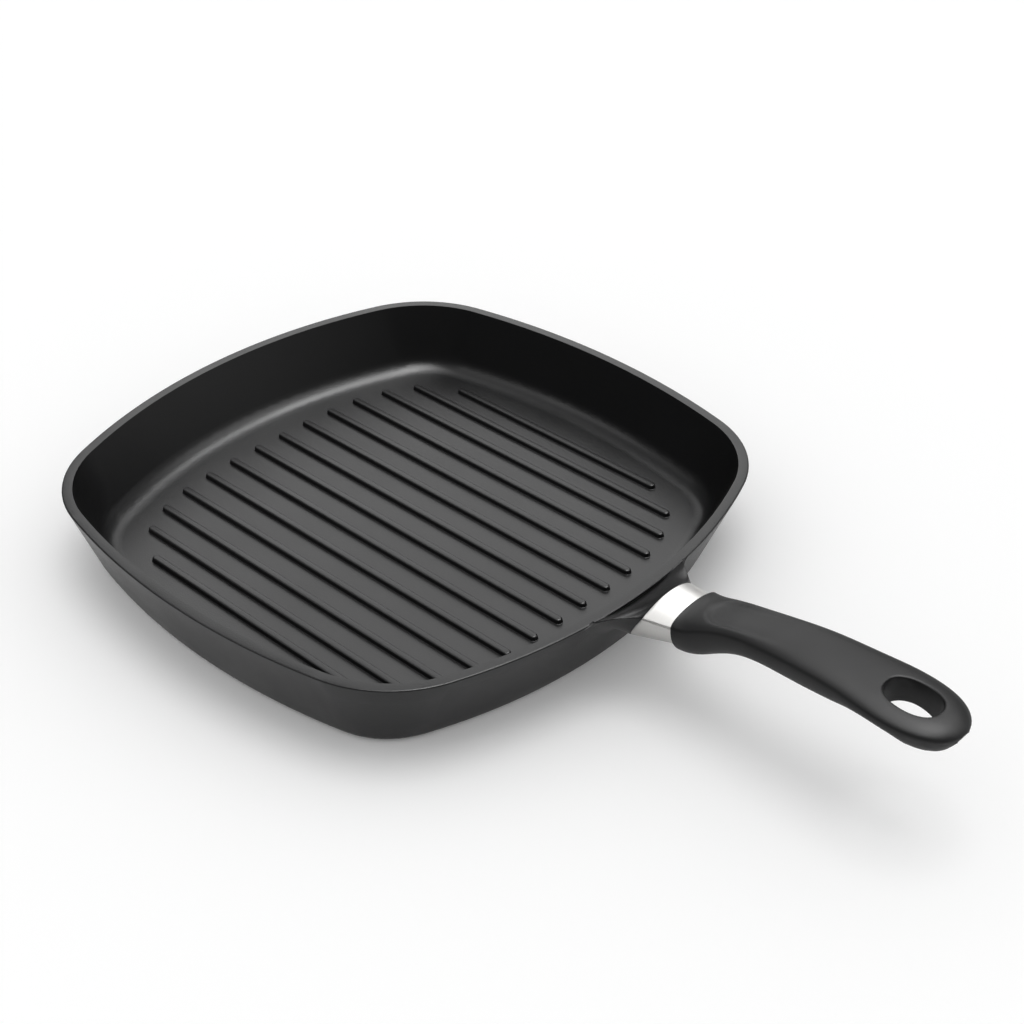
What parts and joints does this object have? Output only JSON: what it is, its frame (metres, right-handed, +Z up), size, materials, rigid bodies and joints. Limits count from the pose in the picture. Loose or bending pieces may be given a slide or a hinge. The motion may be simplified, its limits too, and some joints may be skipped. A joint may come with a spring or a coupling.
{
  "type": "square grill pan",
  "caption": "Square ribbed grill pan with sloping walls, a steel ferrule and one long moulded handle with a hanging hole.",
  "frame": {"origin": "middle of the pan's underside, on the surface it stands on", "axes": "+X from the middle of the pan out along the handle, +Z up, and +Y across the pan"},
  "size_m": [0.4335, 0.2796, 0.0618],
  "materials": {
    "coated_aluminium": "dark matt non-stick coating with a fine grain",
    "base_steel": "flat ground, satin",
    "ferrule_steel": "polished",
    "gasket_rubber": "matt",
    "grip_plastic": "matt, smooth to the touch",
    "insert_brass": "turned",
    "fastener_steel": "zinc plated"
  },
  "bodies": {
    "root": {"pan_body": "coated_aluminium", "induction_plate": "base_steel", "ferrule": "ferrule_steel", "ferrule_gasket": "gasket_rubber", "grip": "grip_plastic", "threaded_insert": "insert_brass", "handle_screw": "fastener_steel", "spring_washer": "fastener_steel"}
  },
  "joints": []
}
